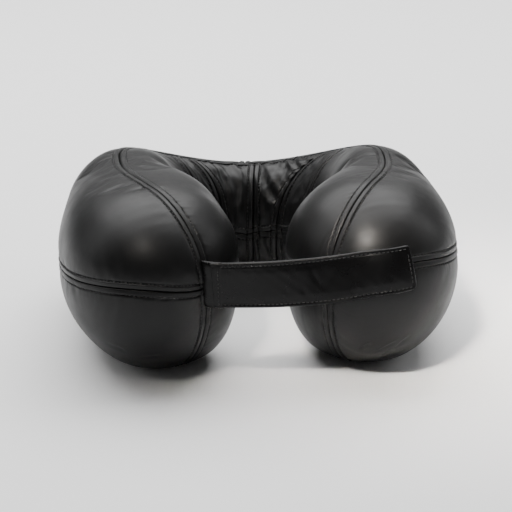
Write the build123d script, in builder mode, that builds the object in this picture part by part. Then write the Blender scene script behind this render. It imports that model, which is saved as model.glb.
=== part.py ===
"""A leather neck pillow: a horseshoe of fibre in a thin liner, under a cover of sixteen sewn panels, with a
leather strap that closes the mouth and holds on the right arm with a hook and loop patch.

Millimetres. +X to the wearer's left arm side (right in front view), +Y to the back of the neck, +Z up. The
origin is on the surface that the pillow rests on, under the middle of its outline.
"""

from build123d import *
import os
from math import asin, cos, degrees, pi, radians, sin, sqrt

# ---- the path that the middle of the pillow follows, seen from above ----
back_radius = 102.0  # quarter circle round the neck, on each side
arm_radius = 216.0  # the slower turn of each arm towards the mouth
left_turn = 44.0  # degrees that the left arm turns after the quarter circle
right_turn = 42.0  # degrees for the right arm
tip_sway = 5.0  # both tips lean this far to +X, as a soft pillow does

# ---- the section across the path: half widths, tops and heights of the widest line ----
back_half_width = 36.0
side_half_width = 43.0
tip_half_width = 64.0
back_top = 88.0
side_top = 129.0
tip_top = 137.0
back_waist = 36.0
tip_waist = 78.0
lower_lean = 10.0  # the bottom crest lies this far inside the middle line at the tips
upper_power = 2.05  # superellipse powers of the upper and lower half sections
lower_power = 2.30
cap_length = 62.0  # rounded end of each arm
sole_squash = 2.5  # how far the weight flattens the underside

# ---- the cover, the liner and the seams ----
cover_thickness = 1.4
liner_thickness = 0.6
waist_seam_height = 58.0  # height of the tilted waist seam over the middle of the pillow
waist_seam_slope = 0.20  # rise towards the mouth, per millimetre
gore_seam_inner = 25.0  # degrees round the neck from the centre seam to the first cross seam
gore_seam_outer = 40.0  # degrees to the second cross seam

# ---- the strap ----
strap_width = 34.0
strap_leather = 1.4
strap_lining = 1.2
strap_root_height = 81.0  # middle of the strap where it is sewn in
strap_tip_height = 92.0  # middle of the strap at its free end
strap_slope = 0.075  # its rise along its length
strap_lap = 22.0  # length that lies on the right arm
strap_peel = 12.0  # the free end starts to peel this far before it touches the arm
root_inside = 6.0  # the sewn tail inside the tip
root_outside = 3.5  # the folded root that stands out of the seam
patch_thickness = 0.9  # loop patch on the arm
hook_thickness = 1.0  # hook patch on the strap
patch_length = 24.0
patch_height = 24.0
patch_corner = 3.0  # rounded corners of the loop patch
patch_margin = 3.0  # bare strap between the hook patch and the free end
running_gap = 0.3  # between pieces that move
patch_gap = 0.4  # between the hook and loop patches
glue_line = 0.05  # between the hook patch and the strap

# ---- modelling steps ----
outline_steps = 400
body_steps = 10
cap_angles = (15, 30, 45, 60, 72, 82)
section_steps = 24
strap_stops = 6
halvings = 30  # steps of the search for the point where the strap meets the arm
touch_range = (20.0, 70.0)  # degrees of the right tip's turn in which it is searched
probe = 0.01  # step along the skin for its directions
reach = 240.0  # larger than the pillow, for cutting tools

quarter = back_radius * pi / 2
turns = {-1: radians(left_turn), 1: radians(right_turn)}


def smooth(t):
    """Ease from 0 to 1: three t squared less two t cubed, held at both ends."""
    t = min(max(t, 0.0), 1.0)
    return t * t * (3 - 2 * t)


def ease(start, end, t):
    return start + (end - start) * smooth(t)


def half_length(side):
    """Length of the path from the middle of the back to the end of one arm."""
    return quarter + arm_radius * turns[side]


def path(side, p):
    """Point, outward normal and running direction at the length p from the back, on the side -1 or 1."""
    round_back = min(p, quarter) / back_radius
    along_arm = max(p - quarter, 0.0) / arm_radius
    turn = round_back + along_arm
    sway = tip_sway * smooth((p - quarter / 2) / (half_length(side) - quarter / 2))
    x = back_radius * sin(round_back) - arm_radius * (1 - cos(along_arm))
    y = back_radius * cos(round_back) - arm_radius * sin(along_arm)
    point = Vector(side * x + sway, y)
    return point, Vector(side * sin(turn), cos(turn)), Vector(cos(turn), -side * sin(turn))


def section(side, p, inset, v):
    """One point of the section at p: its offset along the outward normal and its height, at the angle v from
    the outer waist, for a skin that lies inset below the outer surface. A negative inset lies above it."""
    base = half_length(side) - cap_length
    cap = sqrt(max(0.0, 1 - (max(p - base, 0.0) / (cap_length - inset)) ** 2))
    if p < quarter:
        half_width = ease(back_half_width, side_half_width, p / quarter)
        top = ease(back_top, side_top, p / quarter)
    else:
        half_width = ease(side_half_width, tip_half_width, (p - quarter) / (base - quarter))
        top = ease(side_top, tip_top, (p - quarter) / (base - quarter))
    waist = ease(back_waist, tip_waist, p / base)
    across, up = cos(v), sin(v)
    power = 2 / (upper_power if up > 0 else lower_power)
    rise = top - waist if up > 0 else waist + sole_squash
    lean = 0.0 if up > 0 else lower_lean * smooth(p / base) * cap * up * up
    w = (half_width - inset) * cap * abs(across) ** power * (1 if across > 0 else -1) - lean
    return w, waist + (rise - inset) * cap * abs(up) ** power * (1 if up > 0 else -1)


def surface(side, p, v, inset=0.0):
    """Point of the skin at the path length p and the section angle v, before the outline is centred."""
    point, outward, _ = path(side, p)
    w, z = section(side, p, inset, v)
    return point + outward * w + Vector(0, 0, z)


outline = [
    surface(side, half_length(side) * i / outline_steps, 0)
    for side in (-1, 1)
    for i in range(outline_steps + 1)
]
origin = Vector(
    (min(q.X for q in outline) + max(q.X for q in outline)) / 2,
    (min(q.Y for q in outline) + max(q.Y for q in outline)) / 2,
)


def cover_point(side, p, v, inset=0.0):
    """Point of the skin in the part's own frame."""
    return surface(side, p, v, inset) - origin


def stations(side, inset):
    """Path lengths of the sections of one side: even along the body, then closing in on the tip."""
    base = half_length(side) - cap_length
    body = [base * i / body_steps for i in range(body_steps + 1)]
    return body + [base + (cap_length - inset) * sin(radians(angle)) for angle in cap_angles]


def section_plane(side, p):
    """Plane of a section: X outwards and Y up."""
    point, outward, _ = path(side, p)
    return Plane(origin=point - origin, x_dir=outward, z_dir=outward.cross(Vector(0, 0, 1)))


def skin(inset, floor):
    """The whole pillow, inset below its outer surface, resting flat at the height floor."""
    stops = [(-1, p) for p in reversed(stations(-1, inset))] + [(1, p) for p in stations(1, inset)[1:]]
    tips = [
        Vertex(*cover_point(side, half_length(side) - inset, 0, inset)) for side in (-1, 1)
    ]
    shares = [i / section_steps for i in range(section_steps + 1)]
    with BuildPart() as whole:
        for side, p in stops:
            with BuildSketch(section_plane(side, p)):
                with BuildLine():
                    ring = [section(side, p, inset, 2 * pi * share) for share in shares[:-1]]
                    add(Edge.make_spline(ring, parameters=shares, periodic=True))
                make_face()
        faces = list(whole.pending_faces)
        whole.pending_faces = []
        loft(sections=[tips[0], *faces, tips[1]])
        split(bisect_by=Plane.XY.offset(floor), keep=Keep.TOP)
    return whole.part


def crest_line(lean):
    """The crest seen from above, from beyond the left tip to beyond the right one. It runs along the middle
    line on the upper half, and inside it by the lean on the lower half."""
    halves = {}
    for side in (-1, 1):
        end = half_length(side)
        base = end - cap_length
        row = []
        for p in [base * i / body_steps for i in range(1, body_steps + 1)]:
            point, outward, _ = path(side, p)
            row.append(point - outward * lean * smooth(p / base) - origin)
        tip, _, direction = path(side, end)
        row.append(tip - origin)
        row.append(tip - origin + direction * side * cap_length)
        halves[side] = row
    back = path(1, 0.0)[0] - origin
    return [*reversed(halves[-1]), back, *halves[1]]


def outer_side(lean, mode):
    """Keep, or take away, what lies outside the crest line."""
    line = crest_line(lean)
    with BuildSketch(Plane.XY.offset(-reach / 4)) as region:
        with BuildLine():
            Spline(*line)
            Polyline(
                line[-1],
                (line[-1].X, -reach),
                (reach, -reach),
                (reach, reach),
                (-reach, reach),
                (-reach, -reach),
                (line[0].X, -reach),
                line[0],
            )
        make_face()
    extrude(region.sketch, amount=reach, mode=mode)


def wedge(start, stop, side, mode):
    """Keep, or take away, the slice of the neck hole's wall between two angles round the back."""
    corner = Vector(0, 0) - origin
    rays = [corner + Vector(side * sin(radians(a)), cos(radians(a))) * reach for a in (start, stop)]
    with BuildSketch(Plane.XY.offset(-reach / 4)) as slice_shape:
        with BuildLine():
            Polyline(corner, rays[0], rays[1], close=True)
        make_face()
    extrude(slice_shape.sketch, amount=reach, mode=mode)


# ---- where the strap leaves the left tip ----
tip_end, _, tip_run = path(-1, half_length(-1))
left_tip = tip_end - origin
tip_out = tip_run * -1
strap_thickness = strap_leather + strap_lining
waist_plane = Plane(
    origin=(0, 0, waist_seam_height),
    x_dir=(1, 0, 0),
    z_dir=(0, waist_seam_slope, 1),
)


def root_slot(mode):
    """The block of folded leather that is sewn into the left tip seam."""
    middle = left_tip + tip_out * (root_outside - root_inside) / 2 + Vector(0, 0, strap_root_height)
    with BuildSketch(Plane(origin=middle, x_dir=tip_out, z_dir=(0, 0, 1)).offset(-strap_width / 2)) as fold:
        Rectangle(root_inside + root_outside, strap_thickness)
    extrude(fold.sketch, amount=strap_width, mode=mode)


pieces: dict[str, BuildPart] = {}

# ---- the fibre core and its liner ----
cover_inside = skin(cover_thickness, cover_thickness)
lining_depth = cover_thickness + liner_thickness
with BuildPart() as fibre_core:
    add(skin(lining_depth, lining_depth))
    root_slot(Mode.SUBTRACT)
pieces["fibre_core"] = fibre_core

with BuildPart() as liner_bag:
    add(cover_inside)
    root_slot(Mode.SUBTRACT)
    add(fibre_core.part, mode=Mode.SUBTRACT)
pieces["liner_bag"] = liner_bag

# ---- the leather cover, cut into its panels along the seams ----
with BuildPart() as cover:
    add(skin(0.0, 0.0))
    add(cover_inside, mode=Mode.SUBTRACT)
    root_slot(Mode.SUBTRACT)

for level, keep, lean in (("upper", Keep.TOP, 0.0), ("lower", Keep.BOTTOM, lower_lean)):
    with BuildPart() as outer_ring:
        add(cover.part)
        split(bisect_by=waist_plane, keep=keep)
        outer_side(lean, Mode.INTERSECT)
    with BuildPart() as inner_ring:
        add(cover.part)
        split(bisect_by=waist_plane, keep=keep)
        outer_side(lean, Mode.SUBTRACT)
    for hand, side, half in (("left", -1, Keep.BOTTOM), ("right", 1, Keep.TOP)):
        middle = Plane.YZ.offset(-origin.X)
        with BuildPart() as outer_panel:
            add(outer_ring.part)
            split(bisect_by=middle, keep=half)
        pieces[f"outer_{level}_{hand}"] = outer_panel
        with BuildPart() as inner_half:
            add(inner_ring.part)
            split(bisect_by=middle, keep=half)
        with BuildPart() as arm_panel:
            add(inner_half.part)
            wedge(0, gore_seam_outer, side, Mode.SUBTRACT)
        pieces[f"arm_{level}_{hand}"] = arm_panel
        with BuildPart() as side_gore:
            add(inner_half.part)
            wedge(gore_seam_inner, gore_seam_outer, side, Mode.INTERSECT)
        pieces[f"side_gore_{level}_{hand}"] = side_gore
        with BuildPart() as neck_gore:
            add(inner_half.part)
            wedge(0, gore_seam_inner, side, Mode.INTERSECT)
        pieces[f"neck_gore_{level}_{hand}"] = neck_gore

# ---- the strap ----
with BuildPart() as strap_root:
    root_slot(Mode.ADD)
pieces["strap_root"] = strap_root


def rest_point(angle, height):
    """Point, outward normal and running direction on the right arm, where its rounded end has turned by the
    angle from its base."""
    p = half_length(1) - cap_length * (1 - sin(radians(angle)))
    rise = (tip_top - tip_waist) * cos(radians(angle))
    v = asin(((height - tip_waist) / rise) ** (upper_power / 2))
    here = cover_point(1, p, v)
    along = cover_point(1, p - probe, v) - cover_point(1, p + probe, v)
    up = cover_point(1, p, v + probe) - cover_point(1, p, v - probe)
    level = Vector(along.X, along.Y).normalized()
    return here, along.cross(up).normalized(), (level + Vector(0, 0, strap_slope)).normalized()


stand_off = patch_thickness + patch_gap + hook_thickness + glue_line
root_end = left_tip + tip_out * root_outside + Vector(0, 0, strap_root_height)


def lap_height(d):
    """Height of the strap's middle, from the point where it first touches the arm."""
    return strap_tip_height - strap_slope * (strap_lap - d)


def touch_angle():
    """Where the straight strap meets the right arm without a kink, found by halving."""
    low, high = touch_range
    for _ in range(halvings):
        angle = (low + high) / 2
        point, normal, run = rest_point(angle, lap_height(0))
        straight = point + normal * stand_off - root_end
        turned = straight.X * run.Y - straight.Y * run.X
        low, high = (angle, high) if turned > 0 else (low, angle)
    return (low + high) / 2


touch = touch_angle()
touch_point, touch_normal, touch_run = rest_point(touch, lap_height(0))
span = touch_point + touch_normal * stand_off - root_end
flat_normal = Vector(span.Y, -span.X).normalized()
corner_room = (
    strap_thickness / 2 * abs(tip_out.cross(touch_run).Z)
    + strap_width / 2 * strap_slope
    + running_gap
)
strap_start = corner_room - span.length


def strap_frame(d):
    """Point under the strap, its normal and its running direction, at the length d from where it first
    touches the arm: straight before that, on the arm after it."""
    if d > 0:
        return rest_point(touch - degrees(d / cap_length), lap_height(d))
    back = d / strap_start
    normal = (touch_normal * (1 - smooth(back)) + flat_normal * smooth(back)).normalized()
    level = touch_point + touch_normal * stand_off
    away = strap_thickness / 2 * back
    return level + span.normalized() * d - normal * (stand_off + away), normal, span.normalized()


def strap_layer(depth, thickness, width, first, last):
    """A layer of the strap between two lengths, with its inner face at the depth above the cover."""
    sections = []
    for i in range(strap_stops + 1):
        point, normal, run = strap_frame(first + (last - first) * i / strap_stops)
        up = normal.cross(run).normalized()
        level = point + normal * (depth + thickness / 2)
        with BuildSketch(Plane(origin=level, x_dir=up, z_dir=up.cross(normal))) as cut:
            Rectangle(width, thickness)
        sections.append(cut.sketch)
    with BuildPart() as layer:
        loft(sections)
    return layer


face_depth = stand_off + strap_lining
band = (strap_start, -strap_peel - running_gap / 2)
tail = (-strap_peel + running_gap / 2, strap_lap)
hook_end = strap_lap - patch_margin
hook = (hook_end - patch_length, hook_end)
pieces["strap_band_lining"] = strap_layer(stand_off, strap_lining, strap_width, *band)
pieces["strap_band_face"] = strap_layer(face_depth, strap_leather, strap_width, *band)
pieces["strap_end_lining"] = strap_layer(stand_off, strap_lining, strap_width, *tail)
pieces["strap_end_face"] = strap_layer(face_depth, strap_leather, strap_width, *tail)
pieces["hook_patch"] = strap_layer(
    patch_thickness + patch_gap, hook_thickness, patch_height, *hook
)

# ---- the loop patch that is sewn on the right arm ----
patch_point, patch_normal, patch_run = strap_frame(hook_end - patch_length / 2)
with BuildPart() as loop_patch:
    with BuildSketch(Plane(origin=patch_point, x_dir=patch_run, z_dir=patch_normal).offset(-cap_length / 4)):
        RectangleRounded(patch_length, patch_height, patch_corner)
    extrude(amount=cap_length / 2)
    add(skin(-patch_thickness, 0.0), mode=Mode.INTERSECT)
    add(skin(0.0, 0.0), mode=Mode.SUBTRACT)
pieces["loop_patch"] = loop_patch

swing_point, swing_normal, swing_run = strap_frame(strap_start)
swing_axis = swing_point + swing_normal * (stand_off + strap_thickness)
peel_point, peel_normal, peel_run = strap_frame(-strap_peel)
peel_axis = peel_point + peel_normal * (stand_off + strap_thickness)
print("strap_swing at", swing_axis, "along", swing_normal.cross(swing_run).normalized())
print("strap_end_peel at", peel_axis, "along", peel_normal.cross(peel_run).normalized())
print("outline centre", origin)

os.makedirs("parts", exist_ok=True)
for name, piece in pieces.items():
    piece.part.label = name
    export_step(piece.part, f"parts/{name}.step")
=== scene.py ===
"""A leather horseshoe neck pillow with a closing strap, dressed round its fixed frame.

The cover is worked out as one skin with two parameters: the signed length along the horseshoe, and the angle
round the section. Each panel is a patch of that skin between its seams, rolled in at the edges, gathered by
its stitches and given the thickness of the leather.
"""

import bpy
import numpy as np
from bpy.props import FloatProperty, FloatVectorProperty, PointerProperty
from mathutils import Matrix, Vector


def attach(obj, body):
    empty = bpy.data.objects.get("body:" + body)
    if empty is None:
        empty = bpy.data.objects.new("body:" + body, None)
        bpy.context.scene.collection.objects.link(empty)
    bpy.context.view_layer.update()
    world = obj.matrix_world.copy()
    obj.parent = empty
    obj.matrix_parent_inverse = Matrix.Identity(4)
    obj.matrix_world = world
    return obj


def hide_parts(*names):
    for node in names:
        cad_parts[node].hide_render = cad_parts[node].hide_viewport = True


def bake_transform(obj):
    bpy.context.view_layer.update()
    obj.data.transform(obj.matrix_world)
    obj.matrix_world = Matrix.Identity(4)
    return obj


bl_info = {
    "name": "Leather Neck Pillow",
    "version": (1, 0, 0),
    "blender": (4, 5, 0),
    "location": "3D View > Sidebar > Neck Pillow",
    "description": "Builds the leather cover, seams, stitches and strap of a horseshoe neck pillow",
    "category": "Object",
}

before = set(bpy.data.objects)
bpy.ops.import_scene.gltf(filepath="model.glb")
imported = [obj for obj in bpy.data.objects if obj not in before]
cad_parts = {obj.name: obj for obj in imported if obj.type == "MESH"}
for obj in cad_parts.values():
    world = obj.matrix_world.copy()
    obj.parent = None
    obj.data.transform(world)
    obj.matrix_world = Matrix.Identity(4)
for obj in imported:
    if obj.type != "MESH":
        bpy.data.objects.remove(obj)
MM = 0.001
CREST = np.pi / 2
BASE = 3 * np.pi / 2
FRAMES = 20
laid = {}  # each panel's surface, normals and skin by its name, and the cloth's movement


def length_property(name, millimetres, description):
    """A size in metres whose default is given in millimetres."""
    return FloatProperty(name=name, description=description, default=millimetres * MM, unit="LENGTH")


def angle_property(name, degrees, description):
    """An angle whose default is given in degrees."""
    return FloatProperty(name=name, description=description, default=np.radians(degrees), subtype="ANGLE")


def colour_property(name, value, description):
    """A linear colour."""
    return FloatVectorProperty(
        name=name, description=description, default=value, subtype="COLOR", size=3, min=0, max=1
    )


def number_property(name, value, description):
    """A plain number, such as a power or a strength."""
    return FloatProperty(name=name, description=description, default=value)


class PillowShape(bpy.types.PropertyGroup):
    """Sizes of the stuffed horseshoe."""

    back_radius: length_property("Back radius", 102, "Radius of the middle line round the neck")
    arm_radius: length_property("Arm radius", 216, "Radius of the slower turn of each arm")
    left_turn: angle_property("Left turn", 44, "Turn of the left arm past the quarter circle")
    right_turn: angle_property("Right turn", 42, "Turn of the right arm past the quarter circle")
    tip_sway: length_property("Tip sway", 5, "How far both tips lean to the right")
    back_half_width: length_property("Back half width", 36, "Half width of the section behind the neck")
    side_half_width: length_property("Side half width", 43, "Half width beside the neck")
    tip_half_width: length_property("Tip half width", 64, "Half width of the round tips")
    back_top: length_property("Back top", 88, "Height of the crest behind the neck")
    side_top: length_property("Side top", 129, "Height of the crest beside the neck")
    tip_top: length_property("Tip top", 137, "Height of the crest over the tips")
    back_waist: length_property("Back waist", 36, "Height of the widest line behind the neck")
    tip_waist: length_property("Tip waist", 78, "Height of the widest line at the tips")
    lower_lean: length_property("Lower lean", 10, "How far the base seam lies inside the middle line")
    upper_power: number_property("Upper power", 2.05, "Roundness of the upper half")
    lower_power: number_property("Lower power", 2.3, "Roundness of the lower half")
    shoulder: number_property("Shoulder", 0.8, "Squareness of the arms' inner shoulders")
    inner_swell: number_property("Inner swell", 0.1, "Extra width of the arms' inner side")
    cap_length: length_property("Cap length", 62, "Length of the rounded end of each arm")
    sole_squash: length_property("Sole squash", 2.5, "How far the underside is pressed flat")


class SeamShape(bpy.types.PropertyGroup):
    """Seams, stitches and the leather of the cover."""

    leather: length_property("Leather", 1.4, "Thickness of the cover leather")
    groove: length_property("Groove", 0.75, "Depth of a seam between two rolled edges")
    groove_width: length_property("Groove width", 0.42, "Half width of the roll at a seam")
    band: length_property("Band", 0.75, "Rise of the turned allowance between a seam and its stitches")
    channel: length_property("Channel", 0.95, "Depth to which the top stitches pull the leather in")
    channel_width: length_property("Channel width", 0.62, "Half width of that channel")
    stitch_offset: length_property("Stitch offset", 4.6, "Distance of a top stitch from its seam")
    stitch_pitch: length_property("Stitch pitch", 3.1, "Distance from one stitch to the next")
    stitch_length: length_property("Stitch length", 2.3, "Length of one stitch")
    thread: length_property("Thread", 0.7, "Thickness of the sewing thread")
    waist_back: length_property("Waist seam at the back", 42, "Height of the outer waist seam at the back")
    waist_left: length_property("Waist seam on the left", 88, "Height that it reaches on the left tip")
    waist_right: length_property("Waist seam on the right", 104, "Height that it reaches on the right tip")
    inner_back: length_property("Inner waist seam", 38, "Height of the inner waist seam behind the neck")
    centre: length_property("Centre seam", 8, "Place of the seam behind the neck, along the middle line")
    puff: length_property("Puff", 1.6, "How far a panel swells between its seams")
    cell: length_property("Cell", 2.2, "Width of a cell of the panel meshes between the seams")
    row: length_property("Row", 1.1, "Length of a cell along the seams")
    fine_cell: length_property("Fine cell", 0.33, "Width of a cell beside a seam")
    fine_reach: length_property("Fine reach", 5.5, "How far from a seam the fine cells reach")


class StrapShape(bpy.types.PropertyGroup):
    """The closing strap and its tapes."""

    width: length_property("Width", 34, "Width of the strap")
    face: length_property("Face leather", 1.4, "Thickness of the strap's face")
    lining: length_property("Lining leather", 1.2, "Thickness of the strap's lining")
    root_height: length_property("Root height", 81, "Height of its middle where it is sewn in")
    tip_height: length_property("Tip height", 92, "Height of its middle at the free end")
    slope: number_property("Slope", 0.075, "Rise along its length")
    lap: length_property("Lap", 22, "Length that lies on the right arm")
    overlap: length_property("Turned end", 4, "Turned and painted end beyond the lap")
    taper: length_property("Taper", 2.5, "How much the lower edge rises towards the free end")
    sag: length_property("Sag", 2.5, "How far the strap hangs down in the middle of the mouth")
    inset: length_property("Stitch inset", 2.6, "Distance of the strap's stitches from its edges")
    peel: length_property("Peel", 12, "The free end starts this far before it touches the arm")
    root_outside: length_property("Root", 3.5, "How far the folded root stands out of the seam")
    loop_tape: length_property("Loop tape", 0.9, "Thickness of the loop tape on the arm")
    hook_tape: length_property("Hook tape", 1.0, "Thickness of the hook tape on the strap")
    tape_gap: length_property("Tape gap", 0.4, "Gap between the two tapes")
    tape_length: length_property("Tape length", 24, "Length of both tapes")
    tape_height: length_property("Tape height", 24, "Height of both tapes")
    tape_margin: length_property("Tape margin", 3, "Bare strap beyond the hook tape")


class PillowFinish(bpy.types.PropertyGroup):
    """Colours of the leather, the thread and the tapes."""

    leather: colour_property("Leather", (0.0030, 0.0030, 0.0032), "Black leather")
    strap: colour_property("Strap leather", (0.0024, 0.0024, 0.0026), "Glossier black leather")
    roughness: number_property("Leather roughness", 0.42, "Roughness of the cover's surface")
    strap_roughness: number_property("Strap roughness", 0.26, "Roughness of the strap's surface")
    shine: number_property("Shine", 0.24, "Mirror strength of the cover")
    strap_shine: number_property("Strap shine", 0.17, "Mirror strength of the strap")
    thread: colour_property("Thread", (0.010, 0.010, 0.0105), "Sewing thread")
    tape: colour_property("Tape", (0.012, 0.012, 0.013), "Hook and loop tape")
    floor: colour_property("Floor", (0.86, 0.86, 0.86), "Pale studio floor")


# ---------------------------------------------------------------- the skin


def smooth(t):
    """Ease from 0 to 1: three t squared less two t cubed, held at both ends."""
    t = np.clip(t, 0.0, 1.0)
    return t * t * (3 - 2 * t)


def half_length(shape, right):
    """Length of the middle line from the back to the end of one arm: a quarter circle and a slower arc."""
    turn = np.where(right, shape.right_turn, shape.left_turn)
    return shape.back_radius * np.pi / 2 + shape.arm_radius * turn


def middle_line(shape, s):
    """Point, outward normal and lean of the middle line at the signed length s from the back: a circle round
    the neck, then a slower arc towards the mouth, and an eased sway of both tips to the right."""
    side = np.where(s < 0, -1.0, 1.0)
    p = np.abs(s)
    quarter = shape.back_radius * np.pi / 2
    round_back = np.minimum(p, quarter) / shape.back_radius
    along_arm = np.maximum(p - quarter, 0.0) / shape.arm_radius
    turn = round_back + along_arm
    length = half_length(shape, s >= 0)
    sway = shape.tip_sway * smooth((p - quarter / 2) / (length - quarter / 2))
    x = shape.back_radius * np.sin(round_back) - shape.arm_radius * (1 - np.cos(along_arm))
    y = shape.back_radius * np.cos(round_back) - shape.arm_radius * np.sin(along_arm)
    point = np.stack([side * x + sway, y, np.zeros_like(x)], -1)
    return point, np.stack([side * np.sin(turn), np.cos(turn), np.zeros_like(x)], -1)


def section_sizes(shape, s):
    """Half width, rise above and drop below the widest line, its height, the rounding of the tip by a quarter
    circle, and the lean of the lower half: each size eased from the back to the side and on to the tip."""
    p = np.abs(s)
    quarter = shape.back_radius * np.pi / 2
    base = half_length(shape, s >= 0) - shape.cap_length
    cap = np.sqrt(np.clip(1 - (np.clip(p - base, 0, None) / shape.cap_length) ** 2, 0, 1))
    to_side, to_tip = smooth(p / quarter), smooth((p - quarter) / (base - quarter))

    def along(back, side, tip):
        """Eases between the values behind the neck, beside it and at the tip."""
        return back + (side - back) * to_side + (tip - side) * to_tip

    half_width = along(shape.back_half_width, shape.side_half_width, shape.tip_half_width)
    top = along(shape.back_top, shape.side_top, shape.tip_top)
    waist = shape.back_waist + (shape.tip_waist - shape.back_waist) * smooth(p / base)
    return half_width, top - waist, waist + shape.sole_squash, waist, cap, smooth(p / base) * cap


def inner_fullness(shape, s):
    """How full the neck's side of an arm is: not at all behind the neck, fully beside it on the left and a
    third of that on the right, and dying out as the tip rounds off."""
    quarter = shape.back_radius * np.pi / 2
    p, base = np.abs(s), half_length(shape, s >= 0) - shape.cap_length
    full = smooth((p - 0.4 * quarter) / (0.6 * quarter)) * (1 - smooth((p - base + 62 * MM) / (75 * MM)))
    return np.where(s < 0, full, 0.33 * full)


def skin(shape, s, v):
    """The stuffed cover: at the length s the section is a superellipse in the angle v, wider below, whose
    lower half leans inwards and is pressed flat where it rests. The arms are fuller on the neck's side."""
    point, outward = middle_line(shape, s)
    half_width, rise, drop, waist, cap, lean = section_sizes(shape, s)
    across, up = np.cos(v), np.sin(v)
    upper = up > 0
    power = np.where(upper, 2 / shape.upper_power, 2 / shape.lower_power)
    full = np.where(across < 0, inner_fullness(shape, s), 0.0)
    power = power / (1 + shape.shoulder * full * upper)
    w = half_width * cap * np.sign(across) * np.abs(across) ** power * (1 + shape.inner_swell * full)
    w = w - np.where(upper, 0.0, shape.lower_lean * lean * up * up)
    z = waist + np.where(upper, rise, drop) * cap * np.sign(up) * np.abs(up) ** power
    z = np.logaddexp(z / MM * 0.8, 0.0) * MM / 0.8
    lifted = point + outward * w[..., None]
    lifted[..., 2] = z
    return lifted - pillow_origin(shape)


def pillow_origin(shape):
    """Middle of the outline, which stands over the frame's origin."""
    s = np.linspace(-float(half_length(shape, False)), float(half_length(shape, True)), 801)
    point, outward = middle_line(shape, s)
    half_width, _, _, _, cap, _ = section_sizes(shape, s)
    rim = point + outward * (half_width * cap)[:, None]
    return (rim.min(0) + rim.max(0)) / 2


def outer_waist(shape, seams, s):
    """Angle of the outer waist seam: the section angle where the skin has the seam's height. The seam climbs
    from the back to both tips by a power of the length, and settles on the tip's widest line."""
    length = half_length(shape, s >= 0)
    front = np.where(s < 0, seams.waist_left, seams.waist_right)
    height = seams.waist_back + (front - seams.waist_back) * (np.abs(s) / length) ** 1.2
    return seam_angle(shape, s, height)


def inner_waist(shape, seams, s):
    """Angle of the waist seam on the neck's side, which climbs evenly with the length."""
    height = seams.inner_back + (shape.tip_waist - seams.inner_back) * np.abs(s) / half_length(shape, s >= 0)
    return np.pi - seam_angle(shape, s, height)


def seam_angle(shape, s, height):
    """Section angle at which the skin has a height: the arcsine of the share of the rise or drop, raised to
    half the section's power, brought to the widest line by the fourth power of the way over the tip."""
    _, rise, drop, waist, cap, _ = section_sizes(shape, s)
    base = half_length(shape, s >= 0) - shape.cap_length
    settle = np.clip((np.abs(s) - base) / shape.cap_length, 0, 1) ** 4
    above = (height - waist) * (1 - settle)
    reach = np.where(above > 0, rise, drop) * np.maximum(cap, 1e-4)
    power = np.where(above > 0, shape.upper_power, shape.lower_power) / 2
    return np.sign(above) * np.arcsin(np.clip(np.abs(above) / reach, 0, 0.9) ** power)


def cross_seam(near, far, bend):
    """A cross seam beside the neck: its length along the horseshoe goes from near, at the crest, to far, at
    the waist, by a power of what is left of the way, and stays there below. Both are in millimetres."""

    def at(v):
        """Length of the seam at the section angle v."""
        left = 1 - np.clip((v - CREST) / (np.pi / 2), 0, 1)
        return (far + (near - far) * left**bend) * MM

    return at


# ---------------------------------------------------------------- meshes


def waves(rng, u, pitch, count=5, spread=0.5):
    """Uneven ripples along u: a sum of sines with pitches spread about one value, mostly within one."""
    total = np.zeros_like(u)
    for _ in range(count):
        own = pitch * (1 + spread * (2 * rng.random() - 1))
        total += np.sin(2 * np.pi * (u / own + rng.random()))
    return total / count**0.5 / 1.4


def grid_normals(points):
    """Outward unit normals of a grid: the cross product of its change across and its change along."""
    along, across = np.gradient(points, axis=0), np.gradient(points, axis=1)
    normal = np.cross(across, along)
    return normal / np.maximum(np.linalg.norm(normal, axis=-1, keepdims=True), 1e-12)


def grid_distance(points, axis):
    """Distance travelled over a grid or a line of points along one axis, from its start."""
    steps = np.linalg.norm(np.diff(points, axis=axis), axis=-1)
    start = np.zeros_like(np.take(steps, [0], axis=axis))
    return np.concatenate([start, np.cumsum(steps, axis=axis)], axis=axis)


def grid_faces(rows, columns, first=0, flip=False):
    """Quads of a grid of rows times columns points."""
    i, j = np.meshgrid(np.arange(rows - 1), np.arange(columns - 1), indexing="ij")
    a = first + i * columns + j
    quad = np.stack([a, a + 1, a + columns + 1, a + columns], -1).reshape(-1, 4)
    return quad[:, ::-1] if flip else quad


def closed_shell(outer, inner):
    """Points and quads of a sheet with thickness: both grids, and a rim round their four edges."""
    rows, columns = outer.shape[:2]
    count = rows * columns
    index = np.arange(count).reshape(rows, columns)
    ring = np.concatenate([index[0, :-1], index[:-1, -1], index[-1, :0:-1], index[:0:-1, 0]])
    nxt = np.roll(ring, -1)
    rim = np.stack([nxt, ring, ring + count, nxt + count], -1)
    faces = [grid_faces(rows, columns), grid_faces(rows, columns, count, True), rim]
    return np.concatenate([outer.reshape(-1, 3), inner.reshape(-1, 3)]), np.concatenate(faces)


def mesh_piece(name, points, faces, material, body="pillow"):
    """A smooth mesh object of quads with its place in its mesh, on a body or, with None, on none yet."""
    mesh = bpy.data.meshes.new(name)
    mesh.vertices.add(len(points))
    mesh.vertices.foreach_set("co", points.astype(np.float32).ravel())
    sides = faces.shape[1]
    mesh.loops.add(faces.size)
    mesh.loops.foreach_set("vertex_index", faces.astype(np.int32).ravel())
    mesh.polygons.add(len(faces))
    mesh.polygons.foreach_set("loop_start", np.arange(0, faces.size, sides, dtype=np.int32))
    mesh.update(calc_edges=True)
    mesh.validate()
    mesh.shade_smooth()
    mesh.materials.append(material)
    piece = bpy.data.objects.new(name, mesh)
    bpy.context.scene.collection.objects.link(piece)
    if body:
        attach(piece, body)
    return piece


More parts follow.
